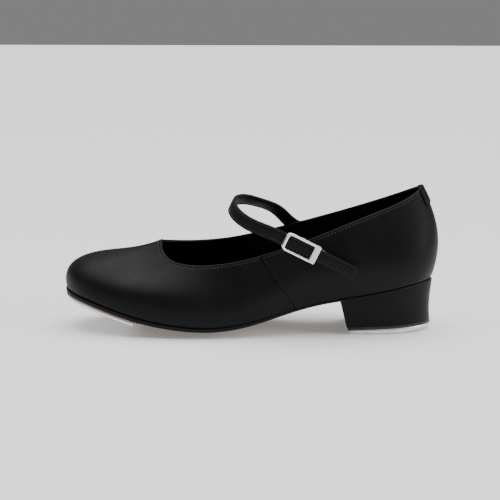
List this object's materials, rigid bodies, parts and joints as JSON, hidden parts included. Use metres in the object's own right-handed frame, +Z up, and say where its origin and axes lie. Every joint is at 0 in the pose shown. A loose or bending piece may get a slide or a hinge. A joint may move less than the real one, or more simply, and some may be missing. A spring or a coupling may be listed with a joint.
{
  "type": "tap shoe",
  "caption": "Low-heeled black leather tap shoe with metal taps under toe and heel and a buckled instep strap.",
  "frame": {"origin": "on the floor under the middle of the shoe's bounding box", "axes": "+X from toe to heel, +Y to the medial side, +Z up"},
  "size_m": [0.2551, 0.0838, 0.0985],
  "materials": {
    "upper_leather": "smooth black grain leather, semi-matt",
    "lining": "black brushed lining",
    "stiffener": "thermoplastic stiffener sheet",
    "board": "cellulose insole board",
    "filler": "cork and rubber filler",
    "shank_steel": "spring steel strip",
    "sole_leather": "leather sole with blackened edge and tan underside",
    "tap_board": "fibre board under the tap",
    "tap_metal": "cast aluminium, polished rim and worn face",
    "heel_wood": "heel core",
    "lift_rubber": "hard black heel lift",
    "screw_steel": "slotted countersunk screws",
    "buckle_chrome": "polished plated metal"
  },
  "bodies": {
    "shoe": {"vamp": "upper_leather", "quarter_lateral": "upper_leather", "quarter_medial": "upper_leather", "back_tab": "upper_leather", "vamp_lining": "lining", "quarter_lining_lateral": "lining", "quarter_lining_medial": "lining", "toe_puff": "stiffener", "heel_counter": "stiffener", "insole_board": "board", "insock": "lining", "bottom_filler": "filler", "shank": "shank_steel", "outsole": "sole_leather", "toe_tap_board": "tap_board", "toe_tap": "tap_metal", "heel_cover": "upper_leather", "heel_block": "heel_wood", "heel_lift": "lift_rubber", "heel_tap": "tap_metal", "toe_tap_screws": "screw_steel", "heel_tap_screws": "screw_steel", "strap_anchor": "upper_leather", "closure_ring": "buckle_chrome", "closure_tab": "upper_leather"},
    "strap": {"strap_outer": "upper_leather", "strap_lining": "lining"},
    "buckle": {"buckle_frame": "buckle_chrome"}
  },
  "joints": [
    {"name": "strap_swing", "type": "hinge", "parent": "shoe", "child": "strap", "pos_m": [0.0358, 0.03266, 0.06261], "axis": [-0.4019, 0.2138, -0.8904], "range_deg": [0, 150]},
    {"name": "buckle_slide", "type": "slide", "parent": "strap", "child": "buckle", "axis": [0.899, 0, -0.438], "range_m": [0, 0.0055]}
  ]
}
